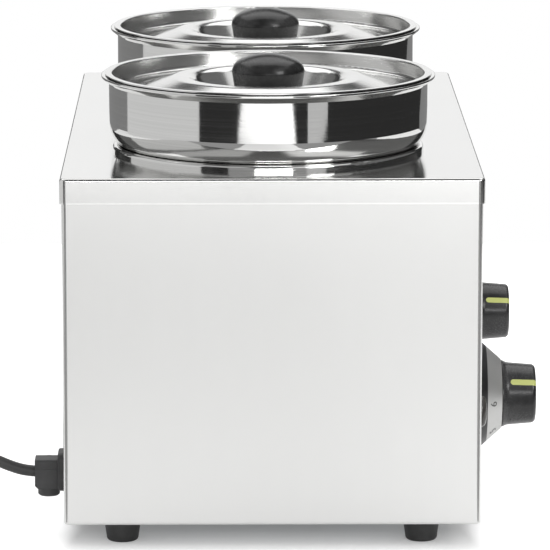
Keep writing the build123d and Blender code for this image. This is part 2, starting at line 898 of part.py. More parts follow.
# Thermal cut-out, which hangs under the clamp bar
def make_thermal_cutout(number, x, y):
    spot = level(x + cutout_offset, y, clamp_under_z)
    with BuildPart() as cutout:
        with BuildSketch(spot):
            Circle(cutout_diameter / 2)
        extrude(amount=-cutout_height)
        chamfer(cutout.faces().sort_by(Axis.Z)[0].edges(), length=cutout_edge)
        with BuildSketch(spot.offset(-cutout_height)):
            with GridLocations(cutout_diameter / 2, 0, 2, 1):
                Rectangle(tab_thickness, tab_width)
        extrude(amount=-tab_length)
    save(cutout, f"thermal_cutout_{number}")


# Sensor bulb under the well floor, with its capillary back to the thermostat
def make_sensor(number, x, y, station_x):
    side = 1 if x > 0 else -1
    bulb_z = well_under_z - bolt_gap - bulb_diameter / 2
    bulb_y = y - bulb_offset
    bulb_end = x + side * bulb_length / 2
    swing_x = bulb_end + side * capillary_swing
    back_y = front_y + panel_sheet + thermostat_depth
    entry_z = control_z - capillary_drop
    along = (1, 0, 0)
    with BuildPart() as sensor:
        with BuildSketch(Plane(origin=(x - bulb_length / 2, middle_y + bulb_y, bulb_z), z_dir=along)):
            Circle(bulb_diameter / 2)
        extrude(amount=bulb_length)
        chamfer(sensor.faces().filter_by(Axis.X).edges(), length=bulb_diameter / 6)
        with BuildLine(level()):
            FilletPolyline(
                (bulb_end, bulb_y, bulb_z),
                (swing_x, bulb_y, bulb_z),
                (swing_x - side * capillary_bend, back_y + capillary_stand_off, entry_z),
                (station_x, back_y + capillary_stand_off, entry_z),
                (station_x, back_y, entry_z),
                radius=[capillary_bend, capillary_bend, capillary_bend * 2],
            )
        with BuildSketch(Plane(origin=(bulb_end, middle_y + bulb_y, bulb_z), z_dir=along)):
            Circle(capillary_diameter / 2)
        sweep()
    save(sensor, f"sensor_bulb_{number}")


# Straps that hold the bulbs to the well floors
def make_bulb_clips():
    half = bulb_diameter / 2 + bolt_gap
    bottom = bulb_diameter + 2 * bolt_gap
    with BuildPart() as clips:
        for x, y in well_spots:
            for clip_x in (x - clip_spacing / 2, x + clip_spacing / 2):
                strap = Plane(
                    origin=(clip_x - clip_length / 2, middle_y + y - bulb_offset, well_under_z),
                    x_dir=(0, 1, 0),
                    z_dir=(1, 0, 0),
                )
                with BuildSketch(strap):
                    with BuildLine():
                        FilletPolyline(
                            (-half - clip_foot, 0),
                            (-half, 0),
                            (-half, -bottom),
                            (half, -bottom),
                            (half, 0),
                            (half + clip_foot, 0),
                            radius=[clip_sheet, half - bolt_gap, half - bolt_gap, clip_sheet],
                        )
                        offset(amount=clip_sheet, side=Side.RIGHT)
                    make_face()
                extrude(amount=clip_length)
    save(clips, "bulb_clips")


# Cord grip: a block with a screwed cap that holds the mains cord
def make_gland():
    bore = cord_diameter / 2 + bolt_gap
    block_depth = gland_reach - gland_flange_thickness
    jaw_middle = (gland_split - gland_below) / 2
    cap_middle = (gland_split + bolt_gap + gland_above) / 2
    cap_height = gland_above - gland_split - bolt_gap
    boss_bottom = gland_z - gland_below - gland_boss_drop
    screw_depth = gland_above - cap_screw_length
    mouth_depth = gland_mouth / tan(radians(gland_mouth_slope))
    with BuildPart() as gland:
        with BuildSketch(rear(gland_x, gland_z)):
            with Locations((0, gland_lift)):
                RectangleRounded(gland_flange_width, gland_flange_height, gland_flange_corner)
        extrude(amount=gland_flange_thickness)
        fillet(gland.faces().sort_by(Axis.Y)[-1].edges(), radius=gland_flange_edge)
        with BuildSketch(rear(gland_x, gland_z, gland_flange_thickness)):
            with Locations((0, jaw_middle)):
                Rectangle(gland_block_width, gland_split + gland_below)
        extrude(amount=block_depth)
        lower = gland.edges().filter_by(Axis.X).group_by(Axis.Y)[-1].sort_by(Axis.Z)[0]
        chamfer(lower, length=gland_round)
        with BuildSketch(level(gland_x, rear_y + gland_boss_out, boss_bottom)):
            Circle(gland_boss_diameter / 2)
        extrude(amount=gland_boss_drop + gland_below - bore)
        chamfer(gland.faces().sort_by(Axis.Z)[0].edges(), length=gland_round / 2)
        with BuildSketch(level(gland_x, rear_y + gland_boss_out, boss_bottom)):
            Circle(gland_screw_head / 2 + bolt_gap)
        extrude(amount=gland_screw_head_height, mode=Mode.SUBTRACT)
        with BuildSketch(level(gland_x, rear_y + gland_boss_out, boss_bottom)):
            Circle(gland_screw_diameter / 2 + bolt_gap)
        extrude(amount=gland_boss_drop + gland_below, mode=Mode.SUBTRACT)
        with BuildSketch(rear(gland_x, gland_z)):
            Circle(gland_spigot_diameter / 2)
        extrude(amount=-(panel_sheet + gland_spigot_length))
        with BuildSketch(rear(gland_x, gland_z, gland_reach)):
            Circle(bore)
        extrude(amount=-(gland_reach + panel_sheet + gland_spigot_length), mode=Mode.SUBTRACT)
        with BuildSketch(rear(gland_x, gland_z, gland_reach)):
            Circle(bore + gland_mouth)
        extrude(amount=-mouth_depth, taper=gland_mouth_slope, mode=Mode.SUBTRACT)
        with BuildSketch(level(gland_x, rear_y + gland_boss_out, gland_z + gland_split)):
            with GridLocations(cap_screw_spacing, 0, 2, 1):
                Circle(cap_screw_diameter / 2 + bolt_gap)
        extrude(amount=screw_depth - gland_split - bolt_gap, mode=Mode.SUBTRACT)
    save(gland, "gland_body")
    with BuildPart() as cap:
        with BuildSketch(rear(gland_x, gland_z, gland_flange_thickness + bolt_gap)):
            with Locations((0, cap_middle)):
                Rectangle(gland_block_width, cap_height)
        extrude(amount=block_depth - bolt_gap)
        fillet(cap.edges().filter_by(Axis.Y).group_by(Axis.Z)[-1], radius=gland_round)
        with BuildSketch(rear(gland_x, gland_z, gland_reach)):
            Circle(bore)
        extrude(amount=-block_depth, mode=Mode.SUBTRACT)
        with BuildSketch(rear(gland_x, gland_z, gland_reach)):
            Circle(bore + gland_mouth)
        extrude(amount=-mouth_depth, taper=gland_mouth_slope, mode=Mode.SUBTRACT)
        with BuildSketch(level(gland_x, rear_y + gland_boss_out, gland_z + gland_above)):
            with GridLocations(cap_screw_spacing, 0, 2, 1):
                Circle(cap_screw_head / 2 + bolt_gap)
        extrude(amount=-cap_screw_head_height, mode=Mode.SUBTRACT)
        with BuildSketch(level(gland_x, rear_y + gland_boss_out, gland_z + gland_above)):
            with GridLocations(cap_screw_spacing, 0, 2, 1):
                Circle(cap_screw_diameter / 2 + bolt_gap)
        extrude(amount=-cap_height, mode=Mode.SUBTRACT)
    save(cap, "gland_cap")
    with BuildPart() as screws:
        with BuildSketch(level(gland_x, rear_y + gland_boss_out, gland_z + gland_above)):
            with GridLocations(cap_screw_spacing, 0, 2, 1):
                Circle(cap_screw_head / 2)
        extrude(amount=-cap_screw_head_height)
        with BuildSketch(level(gland_x, rear_y + gland_boss_out, gland_z + gland_above)):
            with GridLocations(cap_screw_spacing, 0, 2, 1):
                Circle(cap_screw_diameter / 2)
        extrude(amount=-cap_screw_length)
        with BuildSketch(level(gland_x, rear_y + gland_boss_out, boss_bottom)):
            Circle(gland_screw_head / 2)
        extrude(amount=gland_screw_head_height)
        with BuildSketch(level(gland_x, rear_y + gland_boss_out, boss_bottom)):
            Circle(gland_screw_diameter / 2)
        extrude(amount=gland_boss_drop + gland_below - bore - bolt_gap)
    save(screws, "gland_screws")
    with BuildPart() as nut:
        with BuildSketch(rear(gland_x, gland_z, -panel_sheet)):
            RegularPolygon(gland_nut_across / 2, 6, major_radius=False)
            Circle(gland_spigot_diameter / 2 + bolt_gap, mode=Mode.SUBTRACT)
        extrude(amount=-gland_nut_height)
    save(nut, "gland_nut")


# Mains terminals and the earth stud on the base plate
def make_terminals():
    x, y = terminal_spot
    top_z = base_top_z + terminal_height
    well_z = top_z - terminal_well_depth
    with BuildPart() as block:
        with BuildSketch(level(x, y, base_top_z)):
            RectangleRounded(terminal_length, terminal_width, terminal_corner)
        extrude(amount=terminal_height)
        chamfer(block.faces().sort_by(Axis.Z)[-1].edges(), length=terminal_edge)
        with BuildSketch(level(x, y, top_z)):
            with GridLocations(terminal_pitch, 0, 3, 1):
                Circle(terminal_screw_diameter / 2 + lift_gap)
        extrude(amount=-terminal_well_depth, mode=Mode.SUBTRACT)
    save(block, "terminal_block")
    with BuildPart() as screws:
        with BuildSketch(level(x, y, well_z)):
            with GridLocations(terminal_pitch, 0, 3, 1):
                Circle(terminal_screw_diameter / 2)
        extrude(amount=terminal_screw_height)
        with BuildSketch(level(x, y, well_z + terminal_screw_height)):
            with GridLocations(terminal_pitch, 0, 3, 1):
                Rectangle(terminal_screw_diameter, terminal_screw_slot)
        extrude(amount=-terminal_screw_slot, mode=Mode.SUBTRACT)
    save(screws, "terminal_screws")
    x, y = earth_stud_spot
    with BuildPart() as stud:
        with BuildSketch(level(x, y, base_z - bolt_gap)):
            Circle(earth_stud_diameter / 2)
        extrude(amount=earth_stud_length)
        with BuildSketch(level(x, y, base_top_z)):
            RegularPolygon(earth_nut_across / 2, 6, major_radius=False)
        extrude(amount=earth_nut_height)
    save(stud, "earth_stud")


def bend_radii(points):
    """Radius at each corner of a route, from the shorter of the two runs that meet there."""
    radii = []
    corners = [Vector(*point) for point in points]
    for before, corner, after in zip(corners, corners[1:], corners[2:]):
        arriving = corner - before
        leaving = after - corner
        run = min(arriving.length, leaving.length)
        radii.append(bend_share * run / tan(radians(arriving.get_angle(leaving) / 2)))
    return radii


def make_tube(points, diameter, name):
    """Round tube along a route, and how its volume compares with its length."""
    radii = bend_radii(points)
    toward = Vector(*points[1]) - Vector(*points[0])
    start = Vector(*points[0]) + Vector(0, middle_y, 0)
    with BuildPart() as tube:
        with BuildLine(level()) as route:
            FilletPolyline(*points, radius=radii)
        with BuildSketch(Plane(origin=start, z_dir=toward)):
            Circle(diameter / 2)
        sweep()
    share = tube.part.volume / (pi * diameter ** 2 / 4 * route.wires()[0].length)
    print(name, "bends in diameters:", [round(radius / diameter, 1) for radius in radii])
    print(name, "length", round(route.wires()[0].length, 1), "volume share", round(share, 4))
    save(tube, name)


# Mains cable from the face of the cord grip to the terminals
def make_supply_cable():
    x, y = terminal_spot
    inlet_y = y + terminal_width / 2
    level_y = inlet_y + cable_level_run
    spigot_y = rear_y - panel_sheet - gland_spigot_length
    points = [
        cord_points[0],
        (x, spigot_y - cable_level_run / 2, gland_z),
        (x, level_y, cable_inlet_z),
        (x, inlet_y, cable_inlet_z),
    ]
    make_tube(points, cord_diameter, "supply_cable")


# The put-away cord: two layers of a flat spiral, in on the floor and out on top
def make_coil():
    up = Vector(0, 0, 1)
    pitch = cord_diameter + coil_gap
    entry = Vector(*cord_points[-1]) + Vector(0, middle_y, 0)
    radii_in = [coil_radius - half * pitch / 2 for half in range(coil_half_turns)]
    climb_radius = coil_radius - coil_half_turns * pitch / 2
    flat_in = [(radius, 0) for radius in radii_in]
    flat_out = [(radius, 0) for radius in reversed(radii_in)]
    half_turns = flat_in + [(climb_radius, pitch)] + flat_out
    with BuildPart() as coil:
        with BuildLine() as path:
            heading = Vector(1, 0, 0)
            inward = Vector(0, 1, 0)
            start = entry + heading * cord_diameter
            Line(entry, start)
            for radius, rise in half_turns:
                reach = sqrt(radius ** 2 + rise ** 2 / 4)
                end = start + inward * 2 * radius + up * rise
                joint = (start + end) * 0.5 + heading * reach
                quarter = TangentArc(start, joint, tangent=heading)
                TangentArc(joint, end, tangent=quarter % 1)
                start, heading, inward = end, -heading, -inward
            climb = plug_diameter / 2 - start.Z
            end = start + heading * tail_run + up * climb
            joint = (start + end) * 0.5
            bend = TangentArc(start, joint, tangent=heading)
            TangentArc(joint, end, tangent=bend % 1)
            Line(end, end + heading * cord_diameter)
        with BuildSketch(Plane(origin=entry, z_dir=(1, 0, 0))):
            Circle(cord_diameter / 2)
        sweep()
    save(coil, "cord_coil")
    wire = path.wires()[0]
    count = int(wire.length / (cord_diameter / 2))
    apart = int(coil_radius / cord_diameter)
    spots = [wire.position_at(index / count) for index in range(count + 1)]
    nearest = min(
        (spots[late] - spots[early]).length
        for early in range(count)
        for late in range(early + apart, count + 1)
    )
    share = coil.part.volume / (pi * cord_diameter ** 2 / 4 * wire.length)
    print("cord_coil length", round(wire.length, 1), "volume share", round(share, 4))
    print("cord_coil least gap", round(nearest - cord_diameter, 2))
    return end + heading * cord_diameter


# Plug on the far end, lying on its side
def make_plug(inlet):
    neck = plug_neck_diameter / 2
    body = plug_diameter / 2
    body_start = plug_neck_length + plug_length / 5
    whole = plug_neck_length + plug_length
    side = Plane(origin=inlet, x_dir=(-1, 0, 0), z_dir=(0, 1, 0))
    face = Plane(origin=inlet + Vector(-whole, 0, 0), x_dir=(0, 1, 0), z_dir=(-1, 0, 0))
    with BuildPart() as plug:
        with BuildSketch(side):
            with BuildLine():
                FilletPolyline(
                    (0, 0),
                    (0, neck - plug_edge),
                    (plug_neck_length, neck),
                    (body_start, body),
                    (whole, body),
                    (whole, 0),
                    radius=[plug_edge, plug_round, plug_round, plug_edge],
                )
                Line((whole, 0), (0, 0))
            make_face()
        revolve(axis=Axis(inlet, (-1, 0, 0)))
    save(plug, "plug_body")
    with BuildPart() as pins:
        with BuildSketch(face):
            with GridLocations(plug_pin_spacing, 0, 2, 1):
                Circle(plug_pin_diameter / 2)
        extrude(amount=plug_pin_length)
        fillet(pins.faces().sort_by(Axis.X)[:2].edges(), radius=plug_pin_diameter / 4)
    save(pins, "plug_pins")


make_top_cover()
make_body_shell()
make_base_plate()
make_base_screws()
make_feet()
make_foot_screws()
for number, (well_x, well_y) in enumerate(well_spots, start=1):
    make_well(number, well_x, well_y)
    make_pot(number, well_x, well_y)
    make_lid(number, well_x, well_y)
    make_lid_knob(number, well_x, well_y)
    make_lid_screw(number, well_x, well_y)
    make_heater(number, well_x, well_y)
    make_clamp_bar(number, well_x, well_y)
    make_thermal_cutout(number, well_x, well_y)
    make_sensor(number, well_x, well_y, station_spots[number - 1])
make_clamp_bolts()
make_bulb_clips()
make_panel_screws()
for number, station_x in enumerate(station_spots, start=1):
    make_thermostat(number, station_x)
    make_bezel(number, station_x)
    make_spindle(number, station_x)
    make_dial(number, station_x)
    make_lamp(number, station_x - lamp_offset)
make_lamp_nuts()
make_gland()
make_terminals()
make_supply_cable()
make_tube(cord_points, cord_diameter, "cord_run")
make_plug(make_coil())
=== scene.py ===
import bpy
import bmesh
from math import cos, pi, radians, sin
from mathutils import Matrix, Vector


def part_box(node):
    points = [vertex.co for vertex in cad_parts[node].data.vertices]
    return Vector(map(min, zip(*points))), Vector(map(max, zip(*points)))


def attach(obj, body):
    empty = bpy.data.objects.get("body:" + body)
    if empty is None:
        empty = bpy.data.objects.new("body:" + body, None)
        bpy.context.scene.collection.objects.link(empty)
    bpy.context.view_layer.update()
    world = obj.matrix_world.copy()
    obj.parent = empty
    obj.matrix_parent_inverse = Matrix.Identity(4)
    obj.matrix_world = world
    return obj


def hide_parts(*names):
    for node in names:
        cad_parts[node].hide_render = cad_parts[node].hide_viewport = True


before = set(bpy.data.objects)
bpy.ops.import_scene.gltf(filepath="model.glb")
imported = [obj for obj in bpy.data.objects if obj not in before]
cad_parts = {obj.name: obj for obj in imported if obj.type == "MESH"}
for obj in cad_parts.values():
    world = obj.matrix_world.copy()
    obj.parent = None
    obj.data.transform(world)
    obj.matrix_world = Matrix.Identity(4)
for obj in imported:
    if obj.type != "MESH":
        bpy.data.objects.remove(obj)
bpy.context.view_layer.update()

# Places in metres: the cover's middle and lower edge, from its solid, and the given axes of the wells
cover_low, cover_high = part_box("top_cover")
MIDDLE_Y = (cover_low.y + cover_high.y) / 2
SKIRT_EDGE_Z = cover_low.z
WELL_X = 0.124
WELL_Y = MIDDLE_Y + 0.0016
WELLS = {1: (-WELL_X, WELL_Y), 2: (WELL_X, WELL_Y)}


# Shader nodes
def feed(tree, socket, value):
    """Link another node's output to a socket, or set the socket to a plain value."""
    if isinstance(value, bpy.types.NodeSocket):
        tree.links.new(value, socket)
    else:
        socket.default_value = value


def add_node(tree, kind, inputs, output=0, **settings):
    """Add a node with its settings and its inputs, and give one of its outputs."""
    node = tree.nodes.new(kind)
    for name, setting in settings.items():
        setattr(node, name, setting)
    for key, value in inputs.items():
        feed(tree, node.inputs[key], value)
    return node.outputs[output]


def coordinates(tree, scale=(1, 1, 1), origin=(0, 0, 0)):
    """Object coordinates, measured from an origin and scaled."""
    place = add_node(tree, "ShaderNodeTexCoord", {}, "Object")
    shift = [-along * start for along, start in zip(scale, origin)]
    inputs = {"Vector": place, "Scale": scale, "Location": shift}
    return add_node(tree, "ShaderNodeMapping", inputs, "Vector", vector_type="POINT")


def axes(tree, vector):
    """The parts of a vector, by the names X, Y and Z."""
    node = tree.nodes.new("ShaderNodeSeparateXYZ")
    feed(tree, node.inputs[0], vector)
    return node.outputs


def length_of(tree, vector):
    return add_node(tree, "ShaderNodeVectorMath", {0: vector}, "Value", operation="LENGTH")


def combine(tree, operation, first, second):
    return add_node(tree, "ShaderNodeMath", {0: first, 1: second}, operation=operation)


def ring_coordinates(tree, centre, scale):
    """Radius round an upright axis and height, so that noise runs in rings."""
    parts = axes(tree, coordinates(tree, origin=(*centre, 0)))
    flat = add_node(tree, "ShaderNodeCombineXYZ", {"X": parts["X"], "Y": parts["Y"]})
    rings = add_node(tree, "ShaderNodeCombineXYZ", {"X": length_of(tree, flat), "Y": parts["Z"]})
    return add_node(tree, "ShaderNodeVectorMath", {0: rings, "Scale": scale}, operation="SCALE")


def noise(tree, vector, scale=1.0, detail=3.0):
    inputs = {"Vector": vector, "Scale": scale, "Detail": detail, "Roughness": 0.55}
    return add_node(tree, "ShaderNodeTexNoise", inputs, "Fac")


def ramp(tree, value, start, end, low, high, interpolation="SMOOTHSTEP"):
    """Go from low to high while a value goes from start to end."""
    inputs = {"Value": value, "From Min": start, "From Max": end, "To Min": low, "To Max": high}
    return add_node(tree, "ShaderNodeMapRange", inputs, "Result", interpolation_type=interpolation)


def spread(tree, pattern, low, high):
    """Turn a noise, which keeps mostly between 0.3 and 0.7, into a range between two numbers."""
    return ramp(tree, pattern, 0.3, 0.7, low, high, "LINEAR")


def blend_colours(tree, value, first, second):
    """The first colour where the value is 0, the second where it is 1."""
    return add_node(tree, "ShaderNodeMix", {0: value, 6: first, 7: second}, 2, data_type="RGBA")


# Materials. Clouds, rings and worn patches are given by how many fit in a metre
STEEL_RELIEF = 0.0002
MOULDED_RELIEF = 0.0001
GRAIN_TONE = 0.965
RING_TONE = 0.92
SHEET_CLOUDS = 9
SPUN_CLOUDS = 14
SPUN_RINGS = 900
WORN_PATCHES = 45
WORN_TONE = 0.9
WEAR = 0.04
# Width of the painted highlight along the cover's lower edge
PAINTED_EDGE_WIDTH = 0.0006


def start_material(name, values):
    """New node material, with plain values on some sockets of its surface."""
    material = bpy.data.materials.new(name)
    material.use_nodes = True
    tree = material.node_tree
    surface = tree.nodes["Principled BSDF"]
    for key, value in values.items():
        surface.inputs[key].default_value = value
    return material, tree, surface


def finish_surface(tree, surface, colours, gloss, relief):
    """Give a surface its colour, its roughness and its relief, each of them led by a noise.

    colours holds a noise and the two colours that it blends. gloss holds two noises, each with the
    lowest and the highest roughness that it adds. relief holds a noise, its strength and its depth.
    """
    pattern, first, second = colours
    colour = blend_colours(tree, spread(tree, pattern, 0.0, 1.0), (*first, 1), (*second, 1))
    grain, patches = [spread(tree, *part) for part in gloss]
    height, strength, depth = relief
    bump = {"Height": height, "Strength": strength, "Distance": depth}
    feed(tree, surface.inputs["Base Color"], colour)
    feed(tree, surface.inputs["Roughness"], combine(tree, "ADD", grain, patches))
    feed(tree, surface.inputs["Normal"], add_node(tree, "ShaderNodeBump", bump, "Normal"))


def brushed_sheet(name, colour, rough, grain, grain_strength=0.02):
    """Rolled stainless sheet with a straight satin grain and faint cloudy patches."""
    material, tree, surface = start_material(name, {"Metallic": 1.0})
    lines = noise(tree, coordinates(tree, grain))
    clouds = noise(tree, coordinates(tree, [SHEET_CLOUDS] * 3), detail=2.0)
    darker = [part * GRAIN_TONE for part in colour]
    gloss = (lines, rough - 0.015, rough + 0.015), (clouds, -0.015, 0.02)
    finish_surface(tree, surface, (lines, darker, colour), gloss, (lines, grain_strength, STEEL_RELIEF))
    return material


def spun_steel(name, colour, rough, centre, ring_strength=0.015):
    """Polished pressing with fine rings left by the spinning tool."""
    material, tree, surface = start_material(name, {"Metallic": 1.0})
    rings = noise(tree, ring_coordinates(tree, centre, SPUN_RINGS))
    clouds = noise(tree, coordinates(tree, [SPUN_CLOUDS] * 3), detail=2.0)
    darker = [part * RING_TONE for part in colour]
    gloss = (rings, rough - 0.02, rough + 0.025), (clouds, -0.01, 0.02)
    finish_surface(tree, surface, (rings, darker, colour), gloss, (rings, ring_strength, STEEL_RELIEF))
    return material


def moulded(name, colour, rough, grain, grain_strength, metallic=0.0, specular=0.5):
    """Moulded or coated surface with a fine grain and slight wear in colour and gloss."""
    material, tree, surface = start_material(name, {"Metallic": metallic, "Specular IOR Level": specular})
    fine = noise(tree, coordinates(tree), grain)
    broad = noise(tree, coordinates(tree), WORN_PATCHES, 4.0)
    worn = [part + (WORN_TONE - part) * WEAR for part in colour]
    gloss = (fine, rough - 0.03, rough + 0.04), (broad, -0.03, 0.03)
    finish_surface(tree, surface, (broad, colour, worn), gloss, (fine, grain_strength, MOULDED_RELIEF))
    return material


def bright_edge(material, edge_z, colour):
    """Painted highlight: a lighter line along a sheet's lower edge, which fades out upwards, in place of
    the reflection off its rounded hem.
    """
    tree = material.node_tree
    base = tree.nodes["Principled BSDF"].inputs["Base Color"]
    height = axes(tree, coordinates(tree))["Z"]
    edge = ramp(tree, height, edge_z + PAINTED_EDGE_WIDTH, edge_z + 2 * PAINTED_EDGE_WIDTH, 1.0, 0.0)
    feed(tree, base, blend_colours(tree, edge, base.links[0].from_socket, (*colour, 1)))


cover_steel = brushed_sheet("cover_steel", (0.80, 0.80, 0.79), 0.13, (6, 500, 500))
shell_steel = brushed_sheet("shell_steel", (0.80, 0.80, 0.79), 0.20, (900, 900, 10), 0.004)
base_steel = brushed_sheet("base_steel", (0.58, 0.60, 0.61), 0.38, (30, 60, 60), 0.05)
plated = brushed_sheet("plated", (0.66, 0.66, 0.65), 0.28, (300, 300, 300), 0.03)
knob_black = moulded("knob_black", (0.010, 0.010, 0.010), 0.25, 1400, 0.06, specular=0.38)
dial_black = moulded("dial_black", (0.010, 0.010, 0.0105), 0.25, 1300, 0.22, specular=0.48)
bezel_black = moulded("bezel_black", (0.012, 0.012, 0.013), 0.34, 1600, 0.06)
scale_silver = moulded("scale_silver", (0.60, 0.60, 0.59), 0.42, 2200, 0.05, metallic=0.75)
pointer_lime = moulded("pointer_lime", (0.55, 0.59, 0.18), 0.35, 1800, 0.04)
lamp_dark = moulded("lamp_dark", (0.030, 0.027, 0.024), 0.10, 600, 0.02)
holder_plastic = moulded("holder_plastic", (0.05, 0.05, 0.05), 0.50, 900, 0.15)
foot_rubber = moulded("foot_rubber", (0.017, 0.017, 0.017), 0.55, 1200, 0.25)
cord_rubber = moulded("cord_rubber", (0.028, 0.028, 0.028), 0.48, 1100, 0.16)
plug_rubber = moulded("plug_rubber", (0.022, 0.022, 0.023), 0.52, 1000, 0.18)
gland_black = moulded("gland_black", (0.030, 0.030, 0.031), 0.45, 1100, 0.20)
sheath_dark = moulded("sheath_dark", (0.07, 0.062, 0.055), 0.45, 500, 0.20, metallic=0.8)
copper = moulded("copper", (0.62, 0.30, 0.18), 0.32, 700, 0.06, metallic=1.0)
ceramic = moulded("ceramic", (0.76, 0.73, 0.66), 0.30, 500, 0.08)
print_black = moulded("print_black", (0.045, 0.045, 0.045), 0.45, 1500, 0.05)
tie_black = moulded("tie_black", (0.02, 0.02, 0.02), 0.8, 2500, 0.5)
# Painted highlight along the cover skirt's lower edge, in place of the hem's reflection
bright_edge(cover_steel, SKIRT_EDGE_Z, (0.92, 0.92, 0.91))


# Materials on the solids
def dress(node, material):
    """Give a solid one material in place of those that it has."""
    piece = bpy.data.objects[node]
    for place in piece.material_slots:
        place.material = material
    if not piece.material_slots:
        piece.data.materials.append(material)


SINGLE_PIECES = {
    cover_steel: ("top_cover",),
    shell_steel: ("body_shell",),
    base_steel: ("base_plate",),
    foot_rubber: ("foot_1", "foot_2", "foot_3", "foot_4"),
    plated: ("base_screws", "foot_screws", "panel_screws", "lamp_nuts", "clamp_bolts", "bulb_clips",
             "terminal_screws", "earth_stud", "plug_pins"),
    gland_black: ("gland_body", "gland_cap", "gland_nut", "gland_screws"),
    ceramic: ("terminal_block",),
    cord_rubber: ("supply_cable",),
    plug_rubber: ("plug_body",),
}
PAIRED_PIECES = {
    "lid_knob": knob_black,
    "lid_screw": plated,
    "heater": sheath_dark,
    "clamp_bar": plated,
    "thermal_cutout": ceramic,
    "sensor_bulb": copper,
    "thermostat": holder_plastic,
    "bezel": bezel_black,
    "scale_ring": scale_silver,
    "dial": dial_black,
    "dial_pointer": pointer_lime,
    "spindle": plated,
    "lamp_lens": lamp_dark,
    "lamp_body": holder_plastic,
}

for material, nodes in SINGLE_PIECES.items():
    for node in nodes:
        dress(node, material)
for number, centre in WELLS.items():
    pot_steel = spun_steel(f"pot_steel_{number}", (0.78, 0.78, 0.77), 0.055, centre)
    dress(f"well_{number}", pot_steel)
    dress(f"pot_{number}", pot_steel)
    dress(f"lid_{number}", spun_steel(f"lid_steel_{number}", (0.80, 0.80, 0.79), 0.17, centre, 0.03))
    for name, material in PAIRED_PIECES.items():
        dress(f"{name}_{number}", material)


# Pieces that only the looks need
def add_piece(name, data, material):
    """Put a mesh or a curve in the scene, as an object with one material."""
    data.materials.append(material)
    piece = bpy.data.objects.new(name, data)
    bpy.context.scene.collection.objects.link(piece)
    return piece


def add_mesh(name, shape, material):
    """Put a bmesh in the scene, and free it."""
    data = bpy.data.meshes.new(name)
    shape.to_mesh(data)
    shape.free()
    return add_piece(name, data, material)


# Digits on the sloping scale rings. Their feet are this far up the slope, and angles run clockwise
SCALE_SLOPE = radians(41.5)
DIGITS = 6
DIGIT_SIZE = 0.0078
DIGIT_FOOT = 0.0080
DIGIT_LIFT = 0.00010
LAST_DIGIT = 357.0
DIGIT_STEP = 46.0


def on_scale(ring, angle, along, across):
    """Point on a scale ring: along the slope from its outer edge, and across, clockwise."""
    low, high = ring
    middle = (low + high) / 2
    radius = (high.x - low.x) / 2 - along * sin(SCALE_SLOPE)
    turn = angle + across / radius
    radius += DIGIT_LIFT * cos(SCALE_SLOPE)
    out = along * cos(SCALE_SLOPE) + DIGIT_LIFT * sin(SCALE_SLOPE)
    return Vector((middle.x - radius * cos(turn), high.y - out, middle.z + radius * sin(turn)))


def flat_digit(digit):
    """Mesh of one digit that lies flat, centred on its foot."""
    text = bpy.data.curves.new(f"digit_{digit}", "FONT")
    text.body = str(digit)
    text.align_x = "CENTER"
    text.size = DIGIT_SIZE
    text.resolution_u = 4
    holder = bpy.data.objects.new(f"digit_{digit}", text)
    bpy.context.scene.collection.objects.link(holder)
    graph = bpy.context.evaluated_depsgraph_get()
    flat = bpy.data.meshes.new_from_object(holder.evaluated_get(graph))
    bpy.data.objects.remove(holder)
    return flat


def scale_marks(number):
    """The digits of one scale, each bent onto the slope."""
    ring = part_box(f"scale_ring_{number}")
    shape = bmesh.new()
    for digit in range(1, DIGITS + 1):
        angle = radians(LAST_DIGIT - DIGIT_STEP * (DIGITS - digit))
        start = len(shape.verts)
        shape.from_mesh(flat_digit(digit))
        shape.verts.ensure_lookup_table()
        for vertex in shape.verts[start:]:
            across, height = vertex.co.x, vertex.co.y
            vertex.co = on_scale(ring, angle, DIGIT_FOOT - height, across)
    piece = add_mesh(f"scale_marks_{number}", shape, print_black)
    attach(piece, "housing")


for number in (1, 2):
    scale_marks(number)


# The mains cord: one smooth line from inside the cord grip, through the coil, to the plug
CORD = 0.0074
ROUTE = [
    (-0.1900, 0.1450, 0.0404),
    (-0.1900, 0.1548, 0.0404),
    (-0.1900, 0.1665, 0.0424),
    (-0.1893, 0.1820, 0.0489),
    (-0.1853, 0.1985, 0.0568),
    (-0.1750, 0.2145, 0.0617),
    (-0.1575, 0.2265, 0.0592),
    (-0.1360, 0.2320, 0.0500),
    (-0.1130, 0.2335, 0.0370),
    (-0.0895, 0.2330, 0.0235),
    (-0.0655, 0.2318, 0.0115),
    (-0.0415, 0.2303, 0.0046),
    (-0.0185, 0.2300, 0.0037),
    (0.0010, 0.2300, 0.0037),
]
COIL_RADIUS = 0.050
COIL_PITCH = 0.0079
HALF_TURNS = 4
TURN_STEPS = 12
TAIL_STEPS = [(0.012, 0), (0.024, 0.0018), (0.036, 0.0060)]
TAIL_LENGTH = 0.046
PLUG_Z = 0.0185


def coil_points(place):
    """Half circles that wind inwards on the floor, climb one layer and wind outwards, and their end."""
    points = []
    inward = Vector((0, 1, 0))
    radii = [COIL_RADIUS - half * COIL_PITCH / 2 for half in range(HALF_TURNS)]
    climb = COIL_RADIUS - HALF_TURNS * COIL_PITCH / 2
    halves = [(radius, 0) for radius in radii]
    for radius, rise in halves + [(climb, COIL_PITCH)] + halves[::-1]:
        centre = place + inward * radius
        wide = radius / cos(pi / TURN_STEPS / 2)
        for step in range(TURN_STEPS):
            part = (step + 0.5) / TURN_STEPS
            out = Matrix.Rotation(pi * part, 3, "Z") @ (-inward)
            points.append(centre + out * wide + Vector((0, 0, rise * part)))
        place = centre + inward * radius + Vector((0, 0, rise))
        inward = -inward
    return points, place


